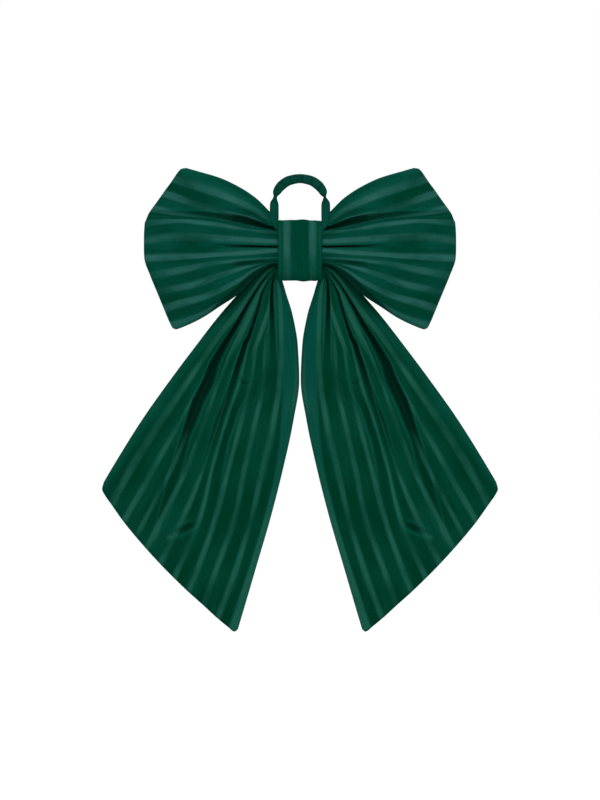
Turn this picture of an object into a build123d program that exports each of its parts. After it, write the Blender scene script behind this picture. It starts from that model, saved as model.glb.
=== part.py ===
from build123d import *
import math
import os

# A pre-made gift bow: two puffed loops and two long tails of lined velvet, a band wrapped round
# the middle as the knot, and a covered elastic loop to hang it by.
# Millimetres. X runs to the right, the bow faces -Y, and Z is up. The model is laid out about the
# middle of the knot, and each sub-part is moved as it is written, so that the origin ends at the
# point under the hanging loop's crown that a hook carries.

# Cloth
CLOTH = 1.6  # one layer of velvet
SEAM_GAP = 0.2  # between two layers where they are sewn together
SEAM = CLOTH + SEAM_GAP / 2  # half the thickness of a sewn edge
THREAD = 0.4  # radius of the sewing thread, drawn heavy
THREAD_EASE = 0.3  # between a gathered neck and the thread round it
THREAD_SIDES = 24

# Knot wrap
KNOT_WIDTH = 44.0
KNOT_HEIGHT = 60.4
KNOT_MIDDLE_Z = -0.6
KNOT_FRONT = -18.0
KNOT_BACK = 16.0
KNOT_CORNER = 11.0
WRAP_WALL = 2.4
HEM_WALL = 2.8
HEM_WIDTH = 6.0
LAP_BACK = 18.0  # the band's end, lapped over its start on the back, and flat
LAP_SIZE = (40.0, 22.0)
LAP_MIDDLE_Z = 1.0
LAP_CORNER = 1.5
LAP_STITCHES = 8
LAP_STITCH_LENGTH = 2.2
LAP_STITCH_MARGIN = 3.0  # from the outer stitches to the lap's sides
STITCH_EASE = 0.15  # a stitch lies this far off the cloth, clear of it

# Gathers
PLEATS = 9  # round a gathered neck

# Loop strip
LOOP_Y = -6.0
WAIST_RADIUS = 8.2
WAIST_TIED = 3.2  # half the length that is drawn in round
WAIST_THREAD_WIDTH = 4.6
WAIST_Z = 6.0
# out from the middle, middle Y, middle Z, half depth, half height, pleat depth as a share
WAIST_FLARE = (
    (WAIST_TIED, LOOP_Y, WAIST_Z, WAIST_RADIUS, WAIST_RADIUS, 0.0),
    (12.0, LOOP_Y, 6.5, 6.2, 13.5, 0.08),
    (21.5, LOOP_Y, 6.5, 5.2, 16.5, 0.12),
    (27.0, LOOP_Y, 11.0, 4.1, 19.0, 0.12),
    (30.6, LOOP_Y, 14.0, 2.2, 21.0, 0.06),
)
# out from the middle, low edge, high edge, half depth at the crests, depth of the creases
LOOP_STATIONS = (
    (33.8, -7.0, 37.0, 2.6, 0.4),
    (38.0, -12.5, 45.0, 6.5, 2.4),
    (46.0, -22.0, 51.5, 9.8, 4.0),
    (62.0, -38.0, 62.0, 12.5, 4.5),
    (85.0, -54.5, 73.5, 12.8, 3.5),
    (105.0, -69.0, 78.0, 10.4, 2.0),
    (118.0, -76.6, 81.4, 8.0, 1.0),
    (127.0, -78.6, 69.6, 6.6, 0.7),
    (141.0, -44.6, 50.2, 5.2, 0.4),
    (152.0, -17.0, 34.5, 3.4, 0.2),
    (155.3, -6.0, 26.0, SEAM, 0.0),
)
LOOP_FOLDS = (0.0, 0.20, 0.40, 0.54, 0.69, 0.85, 1.0)
WADDING_GAP = 1.0
FILLING_INSET = 0.04  # how far a filling stops short of the edges, as a share of the width
FILLING_RIM = 0.4  # half its thickness there

# Tails
TAIL_TOP_Y = 7.4
TAIL_Y = 4.0  # middle of the two panels
TAIL_NECK = (15.5, -15.0)
TAIL_NECK_SLOPE = -42.0  # degrees
TAIL_NECK_RADIUS = 3.4
TAIL_NECK_TIED = 2.2  # half the length that is drawn in round
TAIL_THREAD_WIDTH = 3.4
TAIL_TUFT = (-7.0, 4.4, 0.15)  # the cut end above the thread: along the neck, radius, pleat depth
TAIL_MOUTH = (31.0, 6.0, -23.5)  # where it has left the knot
TAIL_MOUTH_SLOPE = -53.0
TAIL_MOUTH_SIZE = (4.6, 7.4, 0.12)  # half depth, half height, pleat depth as a share
TAIL_FAN = (37.6, TAIL_Y, -38.4)  # where it meets the tail's two panels
TAIL_FAN_SIZE = (2.4, 19.0, 0.10)
# level, inner edge, outer edge, half depth at the crests, depth of the creases
TAIL_STATIONS = (
    (-41.6, 15.5, 57.0, 2.6, 0.4),
    (-60.0, 8.8, 76.0, 7.5, 3.0),
    (-85.0, 4.6, 96.3, 8.5, 4.5),
    (-121.0, 1.7, 123.6, 8.0, 4.2),
    (-160.0, 6.5, 151.5, 6.6, 2.8),
    (-200.0, 13.0, 177.5, 5.4, 1.4),
    (-245.0, 24.0, 200.0, 4.4, 0.6),
    (-300.0, 39.5, 225.0, 3.8, 0.3),
    (-345.0, 53.5, 247.0, 3.4, 0.2),
    (-390.0, 68.0, 268.0, 3.2, 0.1),
)
TAIL_FOLDS = (0.0, 0.12, 0.25, 0.37, 0.49, 0.60, 0.70, 0.85, 1.0)
BACK_FOLDS = (0.0, 0.25, 0.50, 0.75, 1.0)
HEM_OUTER = (200.5, -240.0)
HEM_BELLY = (147.5, -305.5)
HEM_TIP = (62.0, -383.0)
BEYOND_HEM = 60.0  # how far past the tail the cut along the hem goes
INTERLINING_GAP = 0.5
INTERLINING_MARGIN = 6.0  # from the interlining to the hem

# Hanging loop
STRAP_HINGE_Z = 40.0
STRAP_Y = -3.0
CROWN_Y = -2.0
CROWN_UNDERSIDE = 66.8
CASING_WALL = 0.6
ELASTIC_GAP = 0.15
# out from the middle, level, lean of the strap's run from upright, width, thickness
LEG_STATIONS = (
    (24.6, 40.5, 0.0, 8.4, 2.2),
    (24.8, 46.6, 0.0, 8.4, 3.6),
    (24.6, 52.4, 4.0, 4.4, 6.6),
    (22.9, 58.4, 24.0, 9.6, 3.6),
)
CROWN_STATIONS = (
    (22.9, 58.4, 24.0, 9.6, 3.6),
    (18.6, 64.4, 46.0, 10.4, 3.6),
    (10.0, 69.6, 72.0, 9.4, 3.6),
    (0.0, 71.2, 90.0, 8.8, 3.6),
)
# out from the middle, middle Y, level, half width: the flattened end behind the knot's edge
STRAP_END = (
    (24.6, -3.4, 38.4, 4.0),
    (25.4, -6.6, 33.4, 3.5),
    (26.0, -10.8, 28.0, 3.4),
    (25.4, -11.9, 22.5, 3.6),
    (21.5, -12.4, 16.5, 4.2),
    (16.0, -12.7, 11.0, 4.4),
)
STRAP_END_THICKNESS = 2.0
HANGER_STITCHES = 3
HANGER_STITCH_LENGTH = 4.5
HANGER_STITCH_LEAN = 70.0  # degrees from upright
HANGER_STITCH_START = (16.4, -14.2, 15.0)
HANGER_STITCH_STEP = (1.4, 0.0, 2.2)


# ---------------------------------------------------------------- shared shapes


def pleated_oval(place, half_depth, half_height, pleat):
    """A closed section of pinched pleats: a crest, then a crease that is drawn in by a share."""
    corners = []
    for number in range(2 * PLEATS):
        turn = math.pi * number / PLEATS
        reach = 1 - pleat * (number % 2)
        corners.append((half_depth * reach * math.cos(turn), half_height * reach * math.sin(turn)))
    return place * Face(Wire(Polyline(*corners, close=True)))


def fold_line(folds, low, high, middle, half_depth, crease):
    """Points across one side of a padded strip: sewn edges, crests, and the creases between."""
    points = []
    for number, share in enumerate(folds):
        if share in (0.0, 1.0):
            rise = SEAM
        elif number % 2:
            rise = half_depth
        else:
            rise = half_depth - crease
        points.append((low + share * (high - low), middle - rise))
    return points


def shifted(points, distance):
    return [(across, depth + distance) for across, depth in points]


def flipped(points, middle):
    return [(across, 2 * middle - depth) for across, depth in points]


def strip_section(place, front, back):
    """A face between two lines of points that both run from the low edge to the high one."""
    outline = [
        Spline(*front),
        Line(front[-1], back[-1]),
        Spline(*back[::-1]),
        Line(back[0], front[0]),
    ]
    return place * Face(Wire(outline))


def padded_section(place, layer, folds, low, high, middle, half_depth, crease, gap):
    """One station of a padded strip: its front cloth, its back cloth or what fills it."""
    front = fold_line(folds, low, high, middle, half_depth, crease)
    back = flipped(fold_line(BACK_FOLDS, low, high, middle, half_depth, crease), middle)
    if layer == "front":
        return strip_section(place, front, shifted(front, CLOTH))
    if layer == "back":
        return strip_section(place, shifted(back, -CLOTH), back)
    inset = FILLING_INSET * (high - low)
    front_ends = (low + inset, middle - FILLING_RIM), (high - inset, middle - FILLING_RIM)
    inner_front = [front_ends[0], *shifted(front, CLOTH + gap)[1:-1], front_ends[1]]
    back_ends = flipped(front_ends, middle)
    inner_back = [back_ends[0], *shifted(back, -CLOTH - gap)[1:-1], back_ends[1]]
    return strip_section(place, inner_front, inner_back)


def upright_plane(out):
    """A section across a loop: Z along its first axis and Y along its second."""
    return Plane(origin=(out, 0, 0), x_dir=(0, 0, 1), z_dir=(-1, 0, 0))


def level_plane(level):
    """A section across a tail: X along its first axis and Y along its second."""
    return Plane(origin=(0, 0, level), x_dir=(1, 0, 0), z_dir=(0, 0, 1))


def run_plane(centre, slope):
    """A section square to a run that points out and down in the XZ plane."""
    angle = math.radians(slope)
    return Plane(origin=centre, x_dir=(0, 1, 0), z_dir=(math.cos(angle), 0, math.sin(angle)))


def mirrored(shape):
    return mirror(shape, about=Plane.YZ)


def write(name, shape):
    """Writes one sub-part, moved so that the hook's point is the origin."""
    export_step(Location((0, -CROWN_Y, -CROWN_UNDERSIDE)) * shape, f"parts/{name}.step")


# ---------------------------------------------------------------- knot


def band_solid(wall, width):
    """The knot's side view, drawn in by a wall and carried across its width."""
    upright = Plane(origin=(0, 0, 0), x_dir=(0, 1, 0), z_dir=(1, 0, 0))
    depth = KNOT_BACK - KNOT_FRONT - 2 * wall
    height = KNOT_HEIGHT - 2 * wall
    section = upright * RectangleRounded(depth, height, KNOT_CORNER - wall)
    middle = Location((0, (KNOT_BACK + KNOT_FRONT) / 2, KNOT_MIDDLE_Z))
    return middle * extrude(section, width / 2, both=True)


def knot_wrap():
    """A hemmed band, open at both sides, with its end lapped over flat on the back."""
    band = band_solid(0, KNOT_WIDTH)
    lap_front = KNOT_BACK - WRAP_WALL / 2
    lap = Box(LAP_SIZE[0], LAP_BACK - lap_front, LAP_SIZE[1])
    lap = fillet(lap.edges().filter_by(Axis.Y), LAP_CORNER)
    band += Location((0, (LAP_BACK + lap_front) / 2, LAP_MIDDLE_Z)) * lap
    band -= band_solid(HEM_WALL, KNOT_WIDTH + 2)
    band -= band_solid(WRAP_WALL, KNOT_WIDTH - 2 * HEM_WIDTH)
    return band


def thread_bar(length):
    """One stitch: a short upright length of thread."""
    return extrude(RegularPolygon(THREAD, 6), length / 2, both=True)


def knot_wrap_stitches():
    """Slip stitches along the low edge of the lapped end."""
    pitch = (LAP_SIZE[0] - 2 * LAP_STITCH_MARGIN) / (LAP_STITCHES - 1)
    low_edge = LAP_MIDDLE_Z - LAP_SIZE[1] / 2
    level = low_edge - LAP_STITCH_LENGTH / 2 - STITCH_EASE
    bars = []
    for number in range(LAP_STITCHES):
        out = (number - (LAP_STITCHES - 1) / 2) * pitch
        bars.append(Location((out, KNOT_BACK + THREAD + STITCH_EASE, level)) * thread_bar(LAP_STITCH_LENGTH))
    return Compound(children=bars)


def loops_waist():
    """The loop strip's middle, gathered to a round waist, and its pleats fanning out each side."""
    left_to_right = [(-flare[0], *flare[1:]) for flare in WAIST_FLARE[::-1]] + list(WAIST_FLARE)
    sections = []
    for out, middle_y, middle_z, half_depth, half_height, pleat in left_to_right:
        place = Plane(origin=(out, middle_y, middle_z), x_dir=(0, 1, 0), z_dir=(1, 0, 0))
        sections.append(pleated_oval(place, half_depth, half_height, pleat))
    return loft(sections, ruled=True)


def wound_thread(centre, slope, radius, width):
    """Thread wound side by side round a gathered neck, as the band that its turns make."""
    inner = radius + THREAD_EASE
    ring = RegularPolygon(inner + 2 * THREAD, THREAD_SIDES, major_radius=False)
    ring -= RegularPolygon(inner, THREAD_SIDES, major_radius=False)
    return Location(centre, (0, 90 - slope, 0)) * extrude(ring, width / 2, both=True)


# ---------------------------------------------------------------- loops


def loop_piece(layer, stations):
    sections = []
    for out, low, high, half_depth, crease in stations:
        place = upright_plane(out)
        sections.append(
            padded_section(place, layer, LOOP_FOLDS, low, high, LOOP_Y, half_depth, crease, WADDING_GAP)
        )
    return loft(sections, ruled=True)


# ---------------------------------------------------------------- tails


def tail_piece(layer, stations, hem_margin):
    """One layer of a tail, woven on past its hem and then cut off along it."""
    sections = []
    for level, inner, outer, half_depth, crease in stations:
        place = level_plane(level)
        sections.append(
            padded_section(
                place, layer, TAIL_FOLDS, inner, outer, TAIL_Y, half_depth, crease, INTERLINING_GAP
            )
        )
    return loft(sections, ruled=True) & above_hem(hem_margin)


def above_hem(margin):
    """Everything above the slanted hem, which bows a little, kept clear of it by a margin."""
    outer = (HEM_OUTER[0] - margin, HEM_OUTER[1] + margin)
    belly = (HEM_BELLY[0] - margin, HEM_BELLY[1] + margin)
    tip = (HEM_TIP[0] - margin, HEM_TIP[1] + margin)
    far = (outer[0] + BEYOND_HEM, outer[1] + BEYOND_HEM)
    rest = Polyline(outer, far, (far[0], 0), (0, 0), (0, tip[1]), tip)
    outline = ThreePointArc(tip, belly, outer) + rest
    return extrude(Plane.XZ * make_face(outline), BEYOND_HEM, both=True)


def tail_gathered_top():
    """A tail's top, tied to a neck inside the knot, with a tuft above and pleats fanning below."""
    angle = math.radians(TAIL_NECK_SLOPE)
    tuft_place, tuft_radius, tuft_pleat = TAIL_TUFT

    def along(distance):
        centre = (
            TAIL_NECK[0] + distance * math.cos(angle),
            TAIL_TOP_Y,
            TAIL_NECK[1] + distance * math.sin(angle),
        )
        return run_plane(centre, TAIL_NECK_SLOPE)

    sections = [pleated_oval(along(tuft_place), tuft_radius, tuft_radius, tuft_pleat)]
    for place in (-TAIL_NECK_TIED, TAIL_NECK_TIED):
        sections.append(pleated_oval(along(place), TAIL_NECK_RADIUS, TAIL_NECK_RADIUS, 0))
    sections.append(pleated_oval(run_plane(TAIL_MOUTH, TAIL_MOUTH_SLOPE), *TAIL_MOUTH_SIZE))
    sections.append(pleated_oval(run_plane(TAIL_FAN, -90), *TAIL_FAN_SIZE))
    return loft(sections, ruled=True)


# ---------------------------------------------------------------- hanging loop


def strap_section(station, wall):
    """The strap's section at one station of its run, drawn in by a wall."""
    out, level, lean, width, thickness = station
    rise = (level - STRAP_HINGE_Z) / (CROWN_UNDERSIDE - STRAP_HINGE_Z)
    forward = STRAP_Y + (CROWN_Y - STRAP_Y) * rise
    lean = math.radians(lean)
    across = (math.cos(lean), 0, math.sin(lean))
    run = (-math.sin(lean), 0, math.cos(lean))
    place = Plane(origin=(out, forward, level), x_dir=across, z_dir=run)
    section = Rectangle(width - 2 * wall, thickness - 2 * wall)
    if wall == 0:
        section = chamfer(section.vertices(), 0.3 * min(width, thickness))
    return (place * section).face()


def strap_run(wall):
    leg = loft([strap_section(station, wall) for station in LEG_STATIONS])
    crown = loft([strap_section(station, wall) for station in CROWN_STATIONS])
    return leg + crown + mirrored(crown) + mirrored(leg)


def hanger_casing():
    """The covered loop: flat at its crown, with half a twist in each leg, and hollow."""
    return strap_run(0) - strap_run(CASING_WALL)


def hanger_elastic():
    return strap_run(CASING_WALL + ELASTIC_GAP)


def hanger_end():
    """The casing's flattened end, bent down behind the knot's edge."""
    sections = []
    for out, middle_y, level, half_width in STRAP_END:
        section = Rectangle(2 * half_width, STRAP_END_THICKNESS)
        section = chamfer(section.vertices(), 0.3 * STRAP_END_THICKNESS)
        sections.append(Location((out, middle_y, level)) * section)
    return loft(sections, ruled=True)


def hanger_end_stitches():
    """Tacking stitches across each end, ahead of it."""
    bar = Rotation(0, HANGER_STITCH_LEAN, 0) * thread_bar(HANGER_STITCH_LENGTH)
    bars = []
    for number in range(HANGER_STITCHES):
        place = Vector(HANGER_STITCH_START) + Vector(HANGER_STITCH_STEP) * number
        bars.append(Location(place) * bar)
    return Compound(children=bars + [mirrored(bar) for bar in bars])


# ---------------------------------------------------------------- writing


def write_pair(name, shape):
    write(f"right_{name}", shape)
    write(f"left_{name}", mirrored(shape))


def write_all():
    os.makedirs("parts", exist_ok=True)
    write("knot_wrap", knot_wrap())
    write("knot_wrap_stitches", knot_wrap_stitches())
    write("loops_waist", loops_waist())
    write("loops_gather_thread", wound_thread((0, LOOP_Y, WAIST_Z), 0, WAIST_RADIUS, WAIST_THREAD_WIDTH))
    for layer in ("front", "back"):
        write_pair(f"loop_{layer}_panel", loop_piece(layer, LOOP_STATIONS))
        write_pair(f"tail_{layer}_panel", tail_piece(layer, TAIL_STATIONS, 0))
    write_pair("loop_wadding", loop_piece("filling", LOOP_STATIONS[1:-2]))
    write_pair("tail_interlining", tail_piece("filling", TAIL_STATIONS[1:], INTERLINING_MARGIN))
    write_pair("tail_gathered_top", tail_gathered_top())
    neck = (TAIL_NECK[0], TAIL_TOP_Y, TAIL_NECK[1])
    thread = wound_thread(neck, TAIL_NECK_SLOPE, TAIL_NECK_RADIUS, TAIL_THREAD_WIDTH)
    write_pair("tail_gather_thread", thread)
    write_pair("hanger_end", hanger_end())
    write("hanger_end_stitches", hanger_end_stitches())
    write("hanger_casing", hanger_casing())
    write("hanger_elastic", hanger_elastic())


write_all()
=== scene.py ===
import math
import bpy
import numpy as np
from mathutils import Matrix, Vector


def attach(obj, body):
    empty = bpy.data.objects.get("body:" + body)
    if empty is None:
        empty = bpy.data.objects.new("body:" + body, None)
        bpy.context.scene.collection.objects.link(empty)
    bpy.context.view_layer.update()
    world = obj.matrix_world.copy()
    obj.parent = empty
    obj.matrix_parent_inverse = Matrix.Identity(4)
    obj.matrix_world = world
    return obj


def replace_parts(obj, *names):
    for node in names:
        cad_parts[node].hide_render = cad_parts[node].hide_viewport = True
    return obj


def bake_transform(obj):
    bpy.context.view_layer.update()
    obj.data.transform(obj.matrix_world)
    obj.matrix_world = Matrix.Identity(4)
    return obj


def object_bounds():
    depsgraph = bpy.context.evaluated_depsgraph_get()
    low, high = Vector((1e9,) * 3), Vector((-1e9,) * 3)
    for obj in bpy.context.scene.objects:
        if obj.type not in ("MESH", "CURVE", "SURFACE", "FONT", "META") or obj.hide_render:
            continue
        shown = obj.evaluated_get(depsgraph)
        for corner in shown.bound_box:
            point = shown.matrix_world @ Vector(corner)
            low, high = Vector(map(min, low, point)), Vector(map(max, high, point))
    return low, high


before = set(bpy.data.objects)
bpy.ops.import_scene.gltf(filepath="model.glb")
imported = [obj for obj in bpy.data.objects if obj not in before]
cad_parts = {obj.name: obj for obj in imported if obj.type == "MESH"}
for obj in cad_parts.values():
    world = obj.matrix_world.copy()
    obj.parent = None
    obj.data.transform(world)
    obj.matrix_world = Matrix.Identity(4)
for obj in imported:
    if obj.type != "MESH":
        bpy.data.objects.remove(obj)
cad_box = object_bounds()

# A pre-made gift bow of striped velvet: two puffed loops, two long tails, the band round the middle as
# the knot, and the covered strap that it hangs by. Lengths are millimetres about the middle of the knot,
# X to the right, Z up and Y away from the front, until placed() moves them into the frame.
MM = 0.001
KNOT_BEHIND_HOOK = 2.0
KNOT_BELOW_HOOK = 66.8

STRIP = 178.0        # width of the velvet strip that the loops and tails are made of
CLOTH = 1.3          # thickness of one layer of the velvet
BAND_CLOTH = 1.6
WAIST_CLOTH = 1.0
STRAP_CLOTH = 0.7
ELASTIC_ROOM = 0.9   # from the strap's outside to the elastic in it
WADDING_GAP = 1.6    # from a loop's panels to its wadding
LEAST_HALF = 0.25    # half the thickness that a layer between two panels keeps everywhere

LOOP_SEAM_Y = -6.0   # plane in which the two panels of a loop are sewn together
TAIL_SEAM_Y = 5.5
LOOP_START = 19.0    # where a loop's cloth begins, inside the knot
LOOP_EDGE_ROLL = 12.0  # how far in from its seams a loop's padded edge is rounded
LOOP_END_ROLL = 9.0
TAIL_EDGE_ROLL = 9.0
TAIL_HEM_ROLL = 4.0
WIDEST_ROLL = 0.42   # a rounded edge takes no more than this share of the cloth's width

# Where cloth that crosses a joint starts to turn with it, and where it has turned with it wholly. Nothing
# here turns the cloth with them.
LOOP_BEND = ((24, LOOP_SEAM_Y, 5), (62, LOOP_SEAM_Y, 5))
TAIL_BEND = ((36, TAIL_SEAM_Y, -36), (36, TAIL_SEAM_Y, -75))
STRAP_BEND = ((0, -3, 46), (0, -3, 32))

# How many faces each piece of cloth has across its strip and along it.
GRIDS = {
    "loop_front": (190, 200), "loop_back": (130, 120), "loop_wadding": (122, 80),
    "tail_front": (190, 230), "tail_back": (120, 150), "tail_stiffener": (122, 110),
    "knot_band": (60, 240), "pleated_waist": (180, 24), "strap": (40, 320), "elastic": (16, 160),
}

# How the cloth of a loop lies. Each line is one thread that runs from the knot to the outer edge:
# its distance across the strip, its heights at the stations that it reaches, and the point where it meets
# the outer edge.
LOOP_STATIONS = (19, 30, 45, 62, 80, 100, 120)
LOOP_LINES = (
    (0, (25, 38, 52.6, 63.6, 72, 78), (113.5, 81.8)),
    (2, (24.4, 37, 51.2, 62.8, 71.2, 77), (118, 81.2)),
    (5, (23.2, 34.8, 48.4, 60.8, 69.2, 75.4), (121.4, 78.4)),
    (9, (22.2, 32.2, 43.6, 52.8, 60, 66.6, 73), (124.4, 74.2)),
    (13, (21.5, 29, 39.6, 48, 55, 61.4, 68.2), (126.8, 70.6)),
    (17.5, (21.3, 26.6, 36, 43.6, 50.4, 57, 63.4), (129.2, 67)),
    (24, (21, 24.6, 33.4, 38, 44, 50.6, 58), (133, 62)),
    (31, (20.7, 22.6, 29.6, 34, 36.4, 42, 50), (137, 56.4)),
    (40, (20.2, 21.8, 25.6, 29.8, 32.8, 36.6, 42), (142.2, 49)),
    (49, (19.6, 20.7, 22.8, 26.4, 30, 32.6, 34.6), (147.8, 41.4)),
    (54, (19.2, 20.2, 22, 25.6, 29.2, 31.8, 33.4), (150.8, 37)),
    (58, (18.8, 19.7, 21.2, 24.6, 28.3, 30.8, 32), (152, 34.6)),
    (62, (17.6, 18.4, 20.2, 23.2, 26.8, 29.2, 30.6), (153.4, 31)),
    (66.4, (16.2, 17, 19, 21.6, 24.8, 27.2, 29), (155.2, 26.5)),
    (84.2, (6, 6.9, 8.3, 10, 11.3, 12, 12.2), (156, 10)),
    (93, (2.6, 3, 3.3, 3.3, 3, 2.8, 2.6), (156, 1)),
    (102, (-2.2, -2.5, -3, -4.1, -5.4, -6.7, -7.2), (155.6, -8)),
    (119.8, (-7.6, -8.5, -9.8, -11.2, -12.8, -16, -20.4), (149.6, -26)),
    (137.6, (-10.4, -12, -15.6, -20, -26, -33.5, -38), (143, -42)),
    (155.4, (-12.2, -13.4, -19.8, -31.4, -40.6, -48, -53.6), (136, -59)),
    (171, (-13.2, -14.6, -24.8, -40.4, -52.6, -64, -71.8), (129.6, -74)),
    (175, (-14.6, -15.2, -26.4, -42.8, -55, -67.4, -76.4), (127.2, -78.2)),
    (178, (-15.2, -16, -27.6, -44.6, -56.6, -69.4, -78.4), (123.8, -79.6)),
)

# The same for a tail: the distances from the middle at the levels, and the point at the slanted hem. The
# neck is where the first thread and the last one start, inside the knot.
TAIL_NECK = ((11, -6.4), (13.6, -24.8))
TAIL_LEVELS = (-12, -25, -40, -65, -95, -130, -170, -215, -265, -320)
TAIL_LINES = (
    (0, (31, 45.6, 58.8, 80.5, 103.8, 130, 158.3, 186.4), (196.4, -232)),
    (3, (29.4, 43.6, 57, 77.8, 101.2, 127.5, 155.6, 184.2), (198.2, -239)),
    (7, (26, 39.8, 53.5, 72, 94.8, 120.2, 147.6, 176.4), (195.6, -245)),
    (12.7, (22, 35.4, 49, 65.5, 87, 110.5, 137.5, 167), (189, -254.5)),
    (30.5, (19, 32.6, 46.4, 60.7, 78, 97, 119.5, 145), (177, -271.5)),
    (48.3, (18, 31, 45, 58, 74, 91.5, 108.5, 127), (164.6, -286.8)),
    (66.1, (17, 28.4, 38.5, 50.5, 66.5, 80.5, 95.5, 112.5, 137), (154, -299)),
    (83.9, (17, 27, 37, 45.6, 58, 69.5, 81.5, 96, 116), (140, -314.3)),
    (101.7, (17, 25.6, 35, 42.2, 51.5, 60.5, 74, 87.5, 99.5), (126, -328.5)),
    (119.5, (17, 24.4, 33, 37.3, 43.5, 49, 58.5, 70.5, 84, 103), (112, -342)),
    (137.3, (17, 22.6, 30.5, 32.8, 35.2, 37, 45, 55, 64.6, 84.6), (97, -355.4)),
    (155.1, (17, 20, 20.8, 18.9, 18.6, 20.4, 26.4, 36, 48, 64.6), (83, -368.3)),
    (168, (17, 18.6, 17.2, 12.2, 8.2, 7.4, 13.6, 23.6, 35.6, 52.4), (72, -377.4)),
    (175.5, (17, 18.4, 15.6, 8.6, 3.6, 2, 8, 18, 30.4, 46.6), (65.4, -382)),
    (178, (17, 18.3, 14.8, 7.3, 2.2, 0.7, 6.4, 16, 28.6, 44.6), (62, -379.4)),
)

# How far each panel stands off its seam, before it is folded. A loop's heights are given at distances from
# the middle, and a tail's at levels.
LOOP_FRONT_RISE = ((19, 8.6), (26, 8.8), (35, 10), (60, 12.5), (90, 13), (125, 9), (156, 4))
LOOP_BACK_RISE = ((19, 8), (33, 8), (60, 9.5), (90, 11), (125, 8), (156, 4))
TAIL_FRONT_RISE = ((-390, 2.2), (-300, 3.2), (-245, 4.2), (-160, 6.5), (-85, 9), (-46, 9.4), (-34, 11),
                   (-24, 14.5), (-6, 12))
TAIL_BACK_RISE = ((-390, 2.2), (-300, 3), (-245, 4), (-160, 6), (-85, 8), (-40, 7.4), (-10, 8))

# Folds, each a line along the bottom of the fold: distance from the middle, height, depth of the fold,
# and how far it reaches on its first side (up or outwards) and on its second (down or inwards).
LOOP_FOLDS = (
    # the long crease, from the knot across the upper half
    ((20, 19.4, 5, 2, 2), (31, 22.4, 9, 2.4, 3), (38, 24.4, 10, 3.4, 4.4), (45, 26.6, 10, 4.4, 5.2),
     (52, 28.6, 9, 5, 6), (60, 30.6, 7.6, 5.4, 6.4), (70, 32, 5, 5.4, 6.4), (85, 32.8, 4, 5, 5),
     (100, 34, 3.4, 5, 4), (122, 34.5, 2.6, 5, 3), (147, 37, 2, 3, 3), (153, 38, 0, 3, 3)),
    # the broad hollow above it
    ((24, 24.4, 0, 6, 4), (36, 28, 2.4, 9, 6), (55, 32.4, 2.8, 10, 8), (72, 35, 1.8, 9, 8),
     (90, 36, 0, 8, 8)),
    # the straight crease along the middle
    ((19, 2.9, 5, 1.2, 1.2), (30, 2.9, 7, 1.3, 1.3), (45, 3.1, 6, 1.4, 1.4), (62, 3.3, 4, 1.8, 1.8),
     (76, 3.4, 2.2, 2.8, 2.8), (92, 3.2, 0, 5, 5)),
    # a short crease below it
    ((22, -12.4, 0, 2, 2), (38, -11.6, 2.6, 2, 3), (52, -12.8, 3.2, 2, 3.4), (63, -14, 2.6, 2.4, 4),
     (70, -14.8, 0, 3, 5)),
    # a dent by the outer edge
    ((120, -14, 0, 8, 5), (128, -15, 1.8, 8, 5), (138, -15, 1.8, 8, 5), (146, -15, 0, 8, 5)),
    # a dent in the lower half
    ((78, -25, 0, 5, 7), (88, -30, 1.8, 4, 9), (98, -38, 1.8, 4, 9), (108, -42, 0, 5, 8)),
)
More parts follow.
